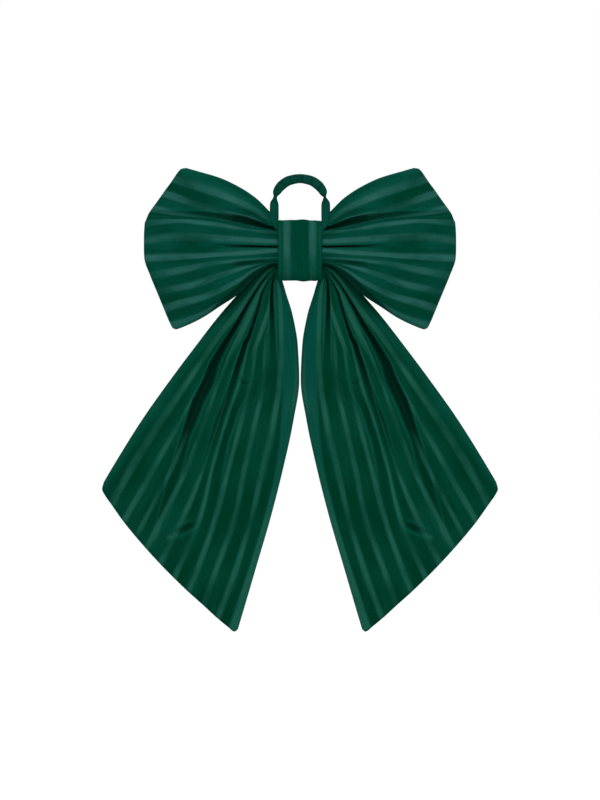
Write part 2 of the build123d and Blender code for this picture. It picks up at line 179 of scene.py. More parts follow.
TAIL_FOLDS = (
    # the outer fold, from the neck nearly to the hem
    ((30, -22, 0, 1, 1.2), (34, -27.4, 3, 1, 1.2), (39.3, -33.5, 4, 1.2, 1.4), (47.5, -46.2, 6, 1.4, 2),
     (55.7, -59.8, 9, 1.6, 3), (63.6, -73.5, 10, 1.8, 4.4), (72.4, -87, 10.5, 2, 5.4),
     (80, -99, 11, 2.2, 7), (88.5, -113.5, 12, 2.4, 9), (95, -130, 12, 2.6, 11), (105, -150, 11, 3, 11),
     (111.6, -170, 8, 3, 10), (116, -187, 4.6, 4, 7), (121.4, -208, 3, 5.4, 7), (127, -229, 2.9, 5.4, 7),
     (133, -250, 2.7, 5, 6.4), (138.6, -268, 2, 4.4, 5.4), (143, -284, 0, 3, 4)),
    # the middle fold
    ((24, -22, 0, 1, 1), (30.2, -28.9, 3, 1.2, 1.4), (34.6, -36, 3, 1.2, 1.4), (38.5, -43.6, 6, 1.2, 2),
     (42, -57, 6, 1.3, 2.4), (46.6, -71.6, 6.4, 1.4, 2.8), (52, -87, 7, 1.6, 4),
     (55.6, -93, 7.4, 1.8, 4.4), (59.3, -104.6, 7, 2, 5), (63.4, -116, 6, 2.2, 5.6),
     (67.2, -129, 4.8, 2.4, 6), (71.6, -142, 4, 2.8, 6), (77, -158, 3.2, 3.4, 5), (82, -172, 2.8, 4, 5),
     (88, -196, 2, 5, 6), (94, -215, 0, 5, 6)),
    # the inner fold
    ((25, -24, 2, 1, 1), (27, -30, 5, 1, 1.2), (28, -37, 8, 1.6, 1.6), (28.4, -50, 9, 2.2, 2.2),
     (28.2, -60, 7, 2.6, 2.6), (27.8, -72, 4.4, 3, 3), (27.4, -90, 3, 3.6, 3.6), (27, -106, 2, 4.4, 4.4),
     (27, -125, 0, 5, 5)),
    # a fold lower down, inside the middle one
    ((54, -136, 0, 5, 5), (60, -148, 2, 5, 5), (66, -160, 3.2, 4, 5), (70, -174, 3.6, 4, 5),
     (75, -188, 3.6, 4, 5), (79, -206, 3.2, 4, 5), (83, -222, 2.2, 5, 6), (90, -250, 0, 7, 8)),
    # a faint crease beside it
    ((44, -130, 0, 4, 4), (47.6, -143, 2, 4, 5), (50.6, -152, 2, 4, 5), (55, -172, 1.2, 5, 6),
     (60, -196, 0, 6, 7)),
    # a small pocket over the tops of both
    ((61, -122, 0, 2, 2), (59, -130, 2.4, 2.4, 2.4), (55, -134, 2.6, 2.4, 2.4), (51, -131, 0, 2, 2)),
    # the buckle above the hem
    ((131, -286, 0, 2.4, 4), (122, -282.8, 2.8, 2.8, 5), (115.5, -279.6, 4, 3.4, 5.4),
     (110, -276.4, 3.6, 3.6, 5), (102, -273, 0, 3, 4)),
)
# Painted shade where the cloth turns under, written as the folds are.
LOOP_SHADES = (
    # the turn along the lower edge
    ((19, -15, 8, 1.6, 3), (28, -15.4, 9, 2.6, 3), (38, -21.4, 10, 4, 3), (45, -26.6, 10, 5.4, 3),
     (53, -34.6, 10, 6.6, 3), (62, -43.8, 10, 7.6, 3), (80, -56.6, 7, 6, 3), (98, -68.4, 0, 3, 3)),
)
# Highlights painted in the light stripes' colour along the tops of the pleats near the knot, and at the hem.
# They are written as the folds are, with a share of the stripe's full light in place of the depth.
LOOP_PAINTED_HIGHLIGHTS = (
    # above the straight crease
    ((19, 8.2, 1, 3, 3), (30, 8.4, 1, 3, 3), (45, 9.6, 0.8, 3.2, 3.2), (62, 11, 0.4, 3.6, 3.6),
     (76, 12, 0, 4, 4)),
    # below it
    ((19, -0.6, 1, 2.6, 2.8), (30, -1, 1, 2.6, 2.8), (45, -2.8, 0.8, 2.8, 3), (62, -4.6, 0.4, 3.4, 3.4),
     (76, -6, 0, 4, 4)),
)
TAIL_PAINTED_HIGHLIGHTS = (
    # outside the outer fold
    ((24, -16, 0.6, 1.2, 1.2), (34, -22.5, 0.8, 1.6, 1.6), (41, -31.6, 0.9, 2.2, 2.2),
     (50, -44.4, 0.9, 2.8, 2.8), (59.3, -58.9, 0.9, 3.4, 3.4), (68.5, -70.7, 0.8, 4, 4),
     (77.5, -81, 0.7, 4.2, 4.2), (87, -94, 0.4, 4.2, 4.2), (97, -108, 0, 4, 4)),
    # between the outer fold and the middle one
    ((28.4, -25.3, 0.6, 1.2, 1.2), (34.8, -33.5, 0.8, 2, 2), (40.8, -43.5, 0.9, 2.6, 2.6),
     (46.4, -56.2, 1, 3.6, 3.6), (51.4, -67, 1, 4, 4), (56.8, -79, 1, 4.2, 4.2), (61, -88, 0.8, 4.2, 4.2),
     (66, -98, 0.4, 4, 4), (72, -110, 0, 4, 4)),
    # between the middle fold and the inner one
    ((28.8, -48, 0, 1.6, 1.6), (30.6, -55, 0.6, 2, 2), (32.6, -62.5, 0.9, 2.6, 2.6),
     (36.4, -75.3, 1, 3.2, 3.2), (41, -88, 1, 3.4, 3.4), (45, -98, 0.6, 3.2, 3.2), (48, -112, 0, 3, 3)),
    # inside the inner fold
    ((22.6, -30, 0.9, 1.8, 1.8), (21.2, -39.8, 1, 2.6, 2.6), (19.8, -53.5, 1, 3.2, 3.2),
     (19, -71.6, 1, 3.2, 3.2), (18.6, -88, 0.9, 3, 3), (18.6, -105, 0.5, 3, 3), (20.4, -125, 0, 3, 3)),
    # under the buckle
    ((135, -289, 0, 2.6, 2.6), (129.5, -287, 0.9, 3.2, 3.2), (125, -285, 0.6, 2.6, 2.6),
     (121, -284, 0, 2, 2)),
    # outside the buckle
    ((140.6, -272, 0, 3, 3), (142, -279, 0.8, 3.6, 3.6), (144, -286, 0.5, 3.2, 3.2),
     (147, -295, 0, 3, 3)),
)
FOLD_FLOOR = 1.45    # how wide the bottom of a fold is: at 1 it is a line
FULL_SHADE = 7.0     # a fold of this depth gets the darkest painted shade
RIDGE_HIGHLIGHT_FOLD_LIMIT = 1.5      # the painted highlight on ridges shows only where the cloth is folded less than this
RIDGE_SMOOTHING = 9  # how often the cloth is smoothed before its ridges are told from it
RIDGE_GAIN = 1.6

# The straight pleats of the back panels: depth, one pleat's width across the strip, how far the pleats are
# moved across it, and where they start to fade in and are whole, as a distance or a level.
LOOP_BACK_PLEATS = (3.2, 29.6, 0.0, 100.0, 25.0)
TAIL_BACK_PLEATS = (3.5, 35.6, 6.0, -230.0, -80.0)
PLEAT_SHARPNESS = 1.5
PLEAT_LIMIT = 0.7    # a back pleat takes no more than this share of the panel's rise

# The covered strap of the hanging loop, from inside the knot up to the crown: distance from the middle, Y,
# height, half its width, half its thickness, and how far it has turned about its own length, in degrees.
STRAP_RUN = (
    (15, -12.6, 10, 3, 1.1, 0), (19.6, -13.2, 16, 2.3, 1.1, 0), (22.5, -14.2, 20.4, 1.6, 1.2, 0),
    (24.0, -14.8, 24, 2.5, 1.3, 0), (25.0, -13.6, 28, 3.7, 1.5, 0), (25.5, -10.8, 32.4, 4.3, 1.7, 0),
    (25.7, -6.6, 38, 4.5, 1.9, 0), (25.7, -3.6, 45.4, 4.4, 2.0, 8), (24.8, -2.6, 52.6, 3.6, 2.0, 90),
    (22.8, -2.4, 58.6, 4.2, 2.1, 172), (18.0, -2.2, 64.8, 4.9, 2.1, 180), (10, -2, 69.6, 4.8, 2.1, 180),
    (0, -2, 71.3, 4.6, 2.0, 180),
)

# The knot band: its faces, the radius of its corners, how far its end stands off its start at the back,
# and the heights at which it starts and ends there. Its waves stand out from a line along its middle.
BAND_HALF_WIDTH = 22.0
BAND_TOP, BAND_BOTTOM = 29.6, -30.8
BAND_FRONT, BAND_BACK = -18.0, 16.0
BAND_CORNER = 11.0
BAND_LAP = 1.8
BAND_START_Z, BAND_END_Z = 12.0, -10.4
BAND_MIDDLE_Y, BAND_MIDDLE_Z = -1.0, -0.6
CORNER_STEPS = 12
HEM_LINE = 17.6      # the line of stitches in the band's hems, from the band's middle
HEM_SHADE = 2.5      # painted shade along the stitches, as dark as that of a fold of this depth

# Colours of the cloth, of the shade and highlights painted on it, of what is sewn into it, and of the studio.
DARK_VELVET = (0.0001, 0.04, 0.022, 1)
BRIGHT_VELVET = (0.0016, 0.06, 0.04, 1)
LIGHT_STRIPE = (0.02, 0.112, 0.092, 1)
# painted highlight on the ridges of the cloth
PAINTED_RIDGE_HIGHLIGHT = (0.004, 0.088, 0.06, 1)
# painted shade in the folds
FOLD_SHADE = (0.0002, 0.017, 0.01, 1)
# painted sheen along the tail's rolled inner edge
PAINTED_RIM_SHEEN = (0.0015, 0.07, 0.049, 1)
THREAD_GREEN = (0.004, 0.07, 0.045, 1)
WADDING_WHITE = (0.78, 0.78, 0.75, 1)
ELASTIC_WHITE = (0.72, 0.72, 0.7, 1)
INTERLINING_WHITE = (0.62, 0.62, 0.58, 1)
WHITE = (1, 1, 1, 1)
BLACK = (0, 0, 0, 1)
FLOOR_PAINT = (0.85, 0.85, 0.85, 1)

STRIPE_PITCH = 17.8  # one light and one dark stripe
FIRST_STRIPE = 13.0  # middle of the first light stripe, from the strip's edge
STRIPE_BLUR = 2.0    # half the width over which a stripe's edge fades
STRIPE_WANDER = 3.0
RIM_SHIFT = 12.0     # the broad last stripe and its painted sheen begin this much earlier at the tail's top
RIM_GROWS = (0.09, 0.22)  # between these lengths along the tail, in metres
PILE_ROUGHNESS = 0.9
PILE_RELIEF = 0.0004  # in metres

# The studio, in metres and watts: each lamp's name, place, power and size.
LAMPS = (
    ("soft_front", (0, -1.6, 1.1), 19, 1.6),
    ("soft_left", (-1.6, -1.0, 0.3), 6, 1.2),
    ("soft_right", (1.6, -1.0, 0.3), 6, 1.2),
    ("soft_back", (0, 1.6, 0.9), 11, 1.6),
)
ROOM_LIGHT = 0.42
FLOOR_SIZE = 12
FLOOR_BELOW = 0.25
FLOOR_GLOW = 0.7
VIEW_DISTANCE = 5.0
VIEW_HEIGHT = 0.8
VIEW_MIDDLE_Z = -150  # millimetres, as the bow's own heights are
SENSOR = 36


def placed(points):
    """Points in millimetres about the knot's middle, as metres in the frame."""
    points = np.asarray(points, float)
    return (points + (0, KNOT_BEHIND_HOOK, -KNOT_BELOW_HOOK)) * MM


def through(knots, values, at):
    """A smooth curve through values at the knots that never swings past them, read at the places wanted."""
    knots, values, at = np.asarray(knots, float), np.asarray(values, float), np.asarray(at, float)
    flat = values.reshape(len(knots), -1)
    step = np.diff(knots)[:, None]
    rise = np.diff(flat, axis=0) / step
    slope = np.zeros_like(flat)
    slope[0], slope[-1] = rise[0], rise[-1]
    same = rise[:-1] * rise[1:] > 0
    total = np.where(same, rise[:-1] + rise[1:], 1)
    slope[1:-1] = np.where(same, 2 * rise[:-1] * rise[1:] / total, 0)
    i = np.clip(np.searchsorted(knots, at) - 1, 0, len(knots) - 2)
    h = step[i]
    t = ((at - knots[i]) / h[:, 0])[:, None]
    low = flat[i] * (1 + 2 * t) * (1 - t) ** 2 + slope[i] * h * t * (1 - t) ** 2
    high = flat[i + 1] * t * t * (3 - 2 * t) + slope[i + 1] * h * t * t * (t - 1)
    return (low + high).reshape((len(at),) + values.shape[1:])


def read_off(curve, at):
    """The heights of a smooth curve, given by its points, at every place of a grid."""
    places, heights = zip(*curve)
    return through(places, heights, at.ravel()).reshape(at.shape)


def ease(t):
    """From 0 to 1, flat at both ends."""
    t = np.clip(t, 0, 1)
    return t * t * (3 - 2 * t)


def hump(at, middle, width):
    """A smooth bump of height 1."""
    return np.exp(-((at - middle) / width) ** 2)


def rolled(distance, radius):
    """How far a padded edge has risen at a distance in from it, as a share of its full height."""
    return np.sqrt(1 - (1 - np.clip(distance / radius, 0, 1)) ** 2)


def lengths_along(points):
    """How far along its line each point is."""
    steps = np.linalg.norm(np.diff(points, axis=0), axis=1)
    return np.concatenate([[0], np.cumsum(steps)])


def fold_depth(x, z, fold):
    """How deep one fold is at each point, from the nearest place on the line along its bottom."""
    fold = np.asarray(fold, float)
    best = np.full(x.shape, np.inf)
    depth = np.zeros(x.shape)
    for start, end in zip(fold[:-1], fold[1:]):
        run = end[:2] - start[:2]
        t = np.clip(((x - start[0]) * run[0] + (z - start[1]) * run[1]) / (run @ run), 0, 1)
        away_x, away_z = x - start[0] - t * run[0], z - start[1] - t * run[1]
        away = np.hypot(away_x, away_z)
        first_side = run[0] * away_z - run[1] * away_x > 0
        here = start[None, None, 2:] + t[..., None] * (end - start)[2:]
        reach = np.where(first_side, here[..., 1], here[..., 2])
        share = np.clip(1 - away / reach, 0, 1)
        nearer = away < best
        depth = np.where(nearer, here[..., 0] * ease(share * FOLD_FLOOR), depth)
        best = np.where(nearer, away, best)
    return depth


def folded(x, z, folds):
    """All the folds of a panel together: where two meet, the deeper one counts."""
    together = np.zeros(x.shape)
    for fold in folds:
        together = np.maximum(together, fold_depth(x, z, fold))
    return together


def lay_threads(lines, known, axis, across, along):
    """Where the cloth lies, flat on: distances from the middle and heights, with rows across the strip and
    columns away from the knot. Known gives a thread's points between its ends, in order along the axis."""
    share = np.linspace(0, 1, along + 1)
    threads = []
    for place, values, end in lines:
        points = np.array(known(place, values) + [end], float)
        run = np.abs(points[:, axis])
        threads.append(through(run, points, run[0] + share * (run[-1] - run[0])))
    return through([line[0] for line in lines], threads, np.linspace(0, STRIP, across + 1))


def loop_lie(across, along):
    """The grid of a loop's cloth, seen flat on."""

    def known(place, heights):
        return list(zip(LOOP_STATIONS, heights))

    return lay_threads(LOOP_LINES, known, 0, across, along)


def tail_lie(across, along):
    """The grid of a tail's cloth, seen flat on."""

    def known(place, distances):
        share = place / STRIP
        (x0, z0), (x1, z1) = TAIL_NECK
        neck = (x0 + (x1 - x0) * share, z0 + (z1 - z0) * share)
        return [neck] + [(x, z) for x, z in zip(distances, TAIL_LEVELS) if z < neck[1]]

    return lay_threads(TAIL_LINES, known, 1, across, along)


def edge_distances(lie):
    """How far each point of a laid grid is from its two long edges and from its outer end."""
    first = np.linalg.norm(lie - lie[:1], axis=-1)
    last = np.linalg.norm(lie - lie[-1:], axis=-1)
    end = np.linalg.norm(lie - lie[:, -1:], axis=-1)
    return first, last, end


def swell(lie, height, edge, hem):
    """The rise of a padded panel over its seam, rolled down to it at both long edges and at the end."""
    first, last, end = edge_distances(lie)
    edge = np.minimum(edge, WIDEST_ROLL * (first + last))
    return height * rolled(first, edge) * rolled(last, edge) * rolled(end, hem)


def back_pleats(at, rise, depth, width, moved, starts, whole):
    """The straight pleats of a back panel, which fade away from the knot and never reach its seam plane."""
    place = np.linspace(0, STRIP, len(at))[:, None]
    crest = 1 - np.abs(np.sin(math.pi * (place + moved) / width))
    pleats = depth * ease((at - starts) / (whole - starts)) * crest ** PLEAT_SHARPNESS
    return np.minimum(pleats, rise * PLEAT_LIMIT)


# Each shape below gives, for a grid of cloth, the distances from the middle, the depths, the heights, and how
# deep in a fold the cloth is, which is painted on it as shade.

def loop_front(across, along):
    lie = loop_lie(across, along)
    x, z = lie[..., 0], lie[..., 1]
    rise = swell(lie, read_off(LOOP_FRONT_RISE, x), LOOP_EDGE_ROLL, LOOP_END_ROLL)
    fold = folded(x, z, LOOP_FOLDS)
    shade = np.maximum(fold, folded(x, z, LOOP_SHADES))
    return x, LOOP_SEAM_Y - rise + np.minimum(fold, rise), z, shade


def loop_back(across, along):
    """Flatter along its lower edge, to leave room for the tail."""
    flattest, reach = 0.42, 36
    lie = loop_lie(across, along)
    x, z = lie[..., 0], lie[..., 1]
    beside_tail = flattest + (1 - flattest) * ease(edge_distances(lie)[1] / reach)
    rise = swell(lie, read_off(LOOP_BACK_RISE, x), LOOP_EDGE_ROLL, LOOP_END_ROLL) * beside_tail
    fold = back_pleats(x, rise, *LOOP_BACK_PLEATS)
    # the pleats' depth is painted on as shade too
    return x, LOOP_SEAM_Y + rise - fold, z, fold


def tail_front(across, along):
    """Flatter along the outer edge of its top, where the loop lies over it."""
    pressed, loop_ends, fades_over, reach = 0.45, -78, 30, 20
    lie = tail_lie(across, along)
    x, z = lie[..., 0], lie[..., 1]
    outer_edge = 1 - ease(edge_distances(lie)[0] / reach)
    under_loop = pressed * ease((z - loop_ends) / fades_over) * outer_edge
    rise = swell(lie, read_off(TAIL_FRONT_RISE, z), TAIL_EDGE_ROLL, TAIL_HEM_ROLL) * (1 - under_loop)
    fold = folded(x, z, TAIL_FOLDS)
    return x, TAIL_SEAM_Y - rise + np.minimum(fold, rise), z, fold


def tail_back(across, along):
    lie = tail_lie(across, along)
    x, z = lie[..., 0], lie[..., 1]
    rise = swell(lie, read_off(TAIL_BACK_RISE, z), TAIL_EDGE_ROLL, TAIL_HEM_ROLL)
    fold = back_pleats(z, rise, *TAIL_BACK_PLEATS)
    # the pleats' depth is painted on as shade too
    return x, TAIL_SEAM_Y + rise - fold, z, fold


def deepest(y):
    """The largest value within three rows and two columns of each point."""
    for axis, reach in ((0, 3), (1, 2)):
        wide = np.pad(y, [(reach, reach) if n == axis else (0, 0) for n in (0, 1)], mode="edge")
        y = np.lib.stride_tricks.sliding_window_view(wide, 2 * reach + 1, axis=axis).max(-1)
    return y


def filling(front, back, gap):
    """The shape of a closed layer between two panels, a gap clear of them, of their seams and their folds.
    With a gap wider than the room, the layer is a thin one half-way between them."""
    row_step, column_step = 3, 2
    edge_rows, knot_columns, end_columns = 12, 24, 8
    inner = (slice(edge_rows, -edge_rows, row_step), slice(knot_columns, -end_columns, column_step))

    def shape(across, along):
        rows = row_step * (across // 2 - 1) + 2 * edge_rows
        columns = column_step * along + knot_columns + end_columns
        x, y, z, _ = front(rows, columns)
        ahead, behind = deepest(y)[inner], -deepest(-back(rows, columns)[1])[inner]
        middle, room = (ahead + behind) / 2, np.maximum((behind - ahead) / 2 - gap, LEAST_HALF)
        around = [np.concatenate([one, other[::-1], one[:1]]) for one, other in
                  ((x[inner], x[inner]), (middle - room, middle + room), (z[inner], z[inner]))]
        return *around, np.zeros_like(around[0])

    return shape


def band_path(count):
    """The knot band's way round the gathers: down the back from its hidden start, up the front, and over its
    start down the back again. Gives depths, heights and lengths."""
    low, high = BAND_BOTTOM + BAND_CORNER, BAND_TOP - BAND_CORNER
    near, far = BAND_FRONT + BAND_CORNER, BAND_BACK - BAND_CORNER
    # each corner's middle, the directions in which it starts and ends, and how far it ends off the start
    corners = ((far, low, 0, -90, 0), (near, low, -90, -180, 0), (near, high, 180, 90, 0),
               (far, high, 90, 0, BAND_LAP))
    points = [(BAND_BACK, BAND_START_Z)]
    for y, z, start, end, lap in corners:
        for share in np.linspace(0, 1, CORNER_STEPS + 1):
            turn = math.radians(start + (end - start) * share)
            reach = BAND_CORNER + lap * share
            points.append((y + reach * math.cos(turn), z + reach * math.sin(turn)))
    points = np.array(points + [(BAND_BACK + BAND_LAP, BAND_END_Z)])
    run = lengths_along(points)
    at = np.linspace(0, run[-1], count + 1)
    return np.interp(at, run, points[:, 0]), np.interp(at, run, points[:, 1]), at


def knot_band(across, along):
    """A hemmed band, with slight waves on its front that run across it and along it."""
    y, z, run = band_path(along)
    u = np.linspace(-1, 1, across + 1)[:, None]
    x = BAND_HALF_WIDTH * u
    out = np.abs(x)
    stitched = hump(out, HEM_LINE, 0.8)
    hem = 0.9 * rolled(BAND_HALF_WIDTH - out, 1.6) - 0.5 * stitched - 0.7
    sag = 0.35 * np.sin(run / 9.0 + 2.2 * u) * (1 - u ** 2)
    ripple = 0.28 * hump(out, BAND_HALF_WIDTH / 2, 2.6) * np.sin(run / 14.0)
    wave = 0.3 * np.sin(5.6 * u + 0.8) + 0.18 * np.sin(11 * u) - 0.9 * u ** 8
    front_ends, fades_over = 4, 8
    lift = hem + (sag + ripple + wave) * (1 - ease((y - front_ends) / fades_over))
    from_y, from_z = y - BAND_MIDDLE_Y, z - BAND_MIDDLE_Z
    length = np.hypot(from_y, from_z)
    return np.broadcast_arrays(x, y + lift * from_y / length, z + lift * from_z / length,
                               HEM_SHADE * stitched)


def pleated_waist(across, along):
    """The loops' cloth where it is drawn together in the middle, as one pleated tube inside the knot."""
    pleats, pleat_depth = 18, 1.1
    middle_y, middle_z, half_depth, half_height = -2.0, 2.5, 6.6, 14.5
    tied, thread_reach = 0.22, 5.0
    around = np.linspace(0, 2 * math.pi, across + 1)[:, None]
    x = np.linspace(-LOOP_START, LOOP_START, along + 1)
    drawn = 1 - tied * hump(x, 0, thread_reach)
    pleat = pleat_depth * np.cos(pleats * around)
    y = middle_y + (half_depth + pleat) * drawn * np.cos(around)
    z = middle_z + (half_height + pleat) * drawn * np.sin(around)
    # the troughs of the pleats get painted shade
    return np.broadcast_arrays(x, y, z, np.maximum(0, -3 * pleat))


def strap(trim):
    """The shape of the hanging strap, a flat tube that turns over in each leg and is puckered over the crown.
    It is trimmed all round for the elastic inside."""
    crown_reach, crown_fade, crease_at = 46, 14, 0.5
    run = np.array(STRAP_RUN, float)
    mirrored = run[-2::-1] * (1, 1, 1, 1, 1, -1) + (0, 0, 0, 0, 0, 360)
    whole = np.concatenate([run * (-1, 1, 1, 1, 1, 1), mirrored])
    far = lengths_along(whole[:, :3])

    def shape(across, along):
        at = np.linspace(0, far[-1], along + 1)
        line = through(far, whole, at)
        tangent = np.gradient(line[:, [0, 2]], axis=0)
        tangent /= np.linalg.norm(tangent, axis=1)[:, None]
        around = np.linspace(0, 2 * math.pi, across + 1)[:, None]
        crown = ease((crown_reach - np.abs(at - far[-1] / 2)) / crown_fade)
        leg = 1 - crown
        lean = at + 1.4 * np.cos(around) + 0.8 * np.sin(at * 0.37)
        uneven = 0.5 + 0.3 * np.sin(at * 0.61) + 0.2 * np.sin(at * 0.23 + around)
        pucker = 0.8 * crown * ease(0.5 + 0.5 * np.sin(lean * 0.9 + 1.3 * np.sin(at * 0.31))) * uneven
        wide = (line[:, 3] - trim) * np.cos(around)
        crease = 1 - 0.3 * hump(np.cos(around), crease_at, 0.14) * leg
        thick = (line[:, 4] - trim - pucker) * np.sin(around) * crease
        # painted shade: in the troughs of the puckers and along the legs' creases, and darker over the whole
        # crown
        shade = pucker * 2.2 + crown * 3.2 + 4.5 * hump(np.cos(around), crease_at, 0.12) * leg
        turn = np.radians(line[:, 5])
        out = wide * np.cos(turn) - thick * np.sin(turn)
        deep = wide * np.sin(turn) + thick * np.cos(turn)
        return line[:, 0] + tangent[:, 1] * out, line[:, 1] + deep, line[:, 2] - tangent[:, 0] * out, shade

    return shape


def ridges(y, fold):
    """How far each point stands out in front of the cloth beside it, which is painted on as a highlight that
    also stands for the pile opening there. The cloth in a fold doesn't count."""
    around = y
    for _ in range(RIDGE_SMOOTHING):
        padded = np.pad(around, ((1, 1), (0, 0)), mode="edge")
        around = (padded[:-2] + padded[1:-1] + padded[2:]) / 3
    return np.where(fold > RIDGE_HIGHLIGHT_FOLD_LIMIT, 0, (around - y) * RIDGE_GAIN)


def lay_flat(mesh, across, along):
    """Gives the mesh its place on the flat strip as its UV map, in metres."""
    corner = np.empty(len(mesh.loops), int)
    mesh.loops.foreach_get("vertex_index", corner)
    flat = np.stack([across[corner], along[corner]], -1)
    mesh.uv_layers.active.data.foreach_set("uv", flat.ravel())


def cloth(name, grid, shape, side=1, faces_front=True, width=STRIP, lights=()):
    """One piece of cloth: a grid whose corners go where its shape puts them, on the left (-1) or the right
    (1). Its width is that of the flat strip that it is cut from."""
    across, along = GRIDS[grid]
    bpy.ops.object.select_all(action="DESELECT")
    bpy.ops.mesh.primitive_grid_add(x_subdivisions=across, y_subdivisions=along, size=1)
    piece = bpy.context.object
    piece.name = piece.data.name = name
    mesh = piece.data
    corners = np.empty(len(mesh.vertices) * 3)
    mesh.vertices.foreach_get("co", corners)
    corners = corners.reshape(-1, 3)
    i = np.rint((corners[:, 0] + 0.5) * across).astype(int)
    j = np.rint((corners[:, 1] + 0.5) * along).astype(int)
    x, y, z, fold = shape(across, along)
    points = placed(np.stack([side * x, y, z], -1))
    mesh.vertices.foreach_set("co", points[i, j].ravel())
    far = np.cumsum(np.linalg.norm(np.diff(points, axis=1, prepend=points[:, :1]), axis=-1), axis=1)
    lay_flat(mesh, i / across * width * MM, far[i, j])
    # the fold mark is painted as shade, and the other two as highlights
    marks = {"fold": fold / FULL_SHADE, "ridge_highlight": ridges(y, fold), "light": folded(x, z, lights)}
    for label, values in marks.items():
        layer = mesh.attributes.new(label, "FLOAT", "POINT")
        layer.data.foreach_set("value", np.clip(values[i, j], 0, 1))
    mesh.update()
    outward = sum(polygon.normal.y * polygon.area for polygon in mesh.polygons)
    if (outward < 0) != faces_front:
        mesh.flip_normals()
    mesh.shade_smooth()
    return piece


def only(piece):
    """Selects one piece and nothing else."""
    bpy.ops.object.select_all(action="DESELECT")
    piece.select_set(True)
    bpy.context.view_layer.objects.active = piece


def sewn_tube(piece, ends=False):
    """Joins the edges of cloth that goes all the way round, and closes the tube's ends where asked."""
    only(piece)
    bpy.ops.object.mode_set(mode="EDIT")
    bpy.ops.mesh.select_all(action="SELECT")
    bpy.ops.mesh.remove_doubles(threshold=0.01 * MM)
    if ends:
        bpy.ops.mesh.select_all(action="DESELECT")
        bpy.ops.mesh.select_non_manifold()
        bpy.ops.mesh.fill_holes(sides=0)
        bpy.ops.mesh.select_all(action="SELECT")
    bpy.ops.mesh.normals_make_consistent(inside=False)
    bpy.ops.object.mode_set(mode="OBJECT")
    return piece


def thicken(piece, thickness):
    """Gives a sheet its thickness, inwards, with closed edges."""
    only(piece)
    wall = piece.modifiers.new("thickness", "SOLIDIFY")
    wall.thickness = thickness * MM
    wall.offset = -1
    wall.use_even_offset = False
    bpy.ops.object.modifier_apply(modifier=wall.name)
    return piece


class Value:
    """One socket of a node tree. Sums written on it add the nodes that work them out."""

    def __init__(self, nodes, socket):
        self.nodes, self.socket = nodes, socket

    def __add__(self, other):
        return self.nodes.sum("ADD", self, other)

    def __sub__(self, other):
        return self.nodes.sum("SUBTRACT", self, other)

    def __rsub__(self, other):
        return self.nodes.sum("SUBTRACT", other, self)

    def __mul__(self, other):
        return self.nodes.sum("MULTIPLY", self, other)

    def __truediv__(self, other):
        return self.nodes.sum("DIVIDE", self, other)

    def __rtruediv__(self, other):
        return self.nodes.sum("DIVIDE", other, self)

    __radd__, __rmul__ = __add__, __mul__


class Nodes:
    """A node tree in the making, and the one way to add a node to it."""

    def __init__(self, tree):
        self.tree = tree

    def put(self, socket, value):
        if isinstance(value, Value):
            self.tree.links.new(value.socket, socket)
        else:
            socket.default_value = value

    def add(self, kind, inputs=None, output=0, **settings):
        """Adds a node: its settings first, then what goes into its sockets. Gives the output asked for."""
        node = self.tree.nodes.new("ShaderNode" + kind)
        for name, value in settings.items():
            setattr(node, name, value)
        for key, value in (inputs or {}).items():
            self.put(node.inputs[key], value)
        return Value(self, node.outputs[output])

    def sum(self, operation, *values):
        return self.add("Math", dict(enumerate(values)), operation=operation)

    def step(self, value, low, high):
        """0 below low and 1 above high, with a soft change between."""
        inputs = {0: value, 1: low, 2: high, 3: 0.0, 4: 1.0}
        return self.add("MapRange", inputs, interpolation_type="SMOOTHSTEP")

    def mix(self, share, a, b):
        return self.add("Mix", {0: share, 6: a, 7: b}, output=2, data_type="RGBA", clamp_factor=True)

    def attribute(self, name):
        return self.add("Attribute", attribute_name=name, output=2)

    def noise(self, where, scale, detail=2.0):
        return self.add("TexNoise", {"Vector": where, "Scale": scale, "Detail": detail})

    def streaks(self, where, across, along, detail=2.0, deep=1.0):
        """Noise of its own scale in each direction."""
        return self.noise(self.add("Mapping", {0: where, 3: (across, along, deep)}), 1.0, detail)

    def seen_straight(self):
        """1 for what the eye sees straight on, in a gloss or through glass, and 0 for what lights the bow."""
        eye, gloss, glass = (self.add("LightPath", output=f"Is {ray} Ray")
                             for ray in ("Camera", "Glossy", "Transmission"))
        return self.sum("MAXIMUM", self.sum("MAXIMUM", eye, gloss), glass)


class Finish(Nodes):
    """A material in the making."""

    def __init__(self, name):
        self.material = bpy.data.materials.new(name)
        self.material.use_nodes = True
        super().__init__(self.material.node_tree)
        self.surface = self.tree.nodes["Principled BSDF"]

    def set(self, **sockets):
        for name, value in sockets.items():
            self.put(self.surface.inputs[name.replace("_", " ")], value)
        return self.material


def satin_stripes(finish, flat, across, along, width, pitch=STRIPE_PITCH, first=FIRST_STRIPE,
                  faint=(0.0, 0.01, 1.0)):
    """How strong the light stripes are, which run along the strip and wander a little. Their width, pitch and
    first middle are millimetres. They grow from the share of their strength that faint ends with to all of
    it, between two lengths in metres from the strip's start."""
    drift = finish.streaks(flat, 14.0, 7.0, 3.0)
    turn = finish.sum("FRACT", (across + (drift - 0.5) * STRIPE_WANDER - first) / pitch + 0.5)
    away = finish.sum("ABSOLUTE", turn - 0.5) * pitch
    band = finish.step(away * -1.0, -width * 0.5 - STRIPE_BLUR, -width * 0.5 + STRIPE_BLUR)
    start, whole, least = faint
    return band * (finish.step(along, start, whole) * (1.0 - least) + least)


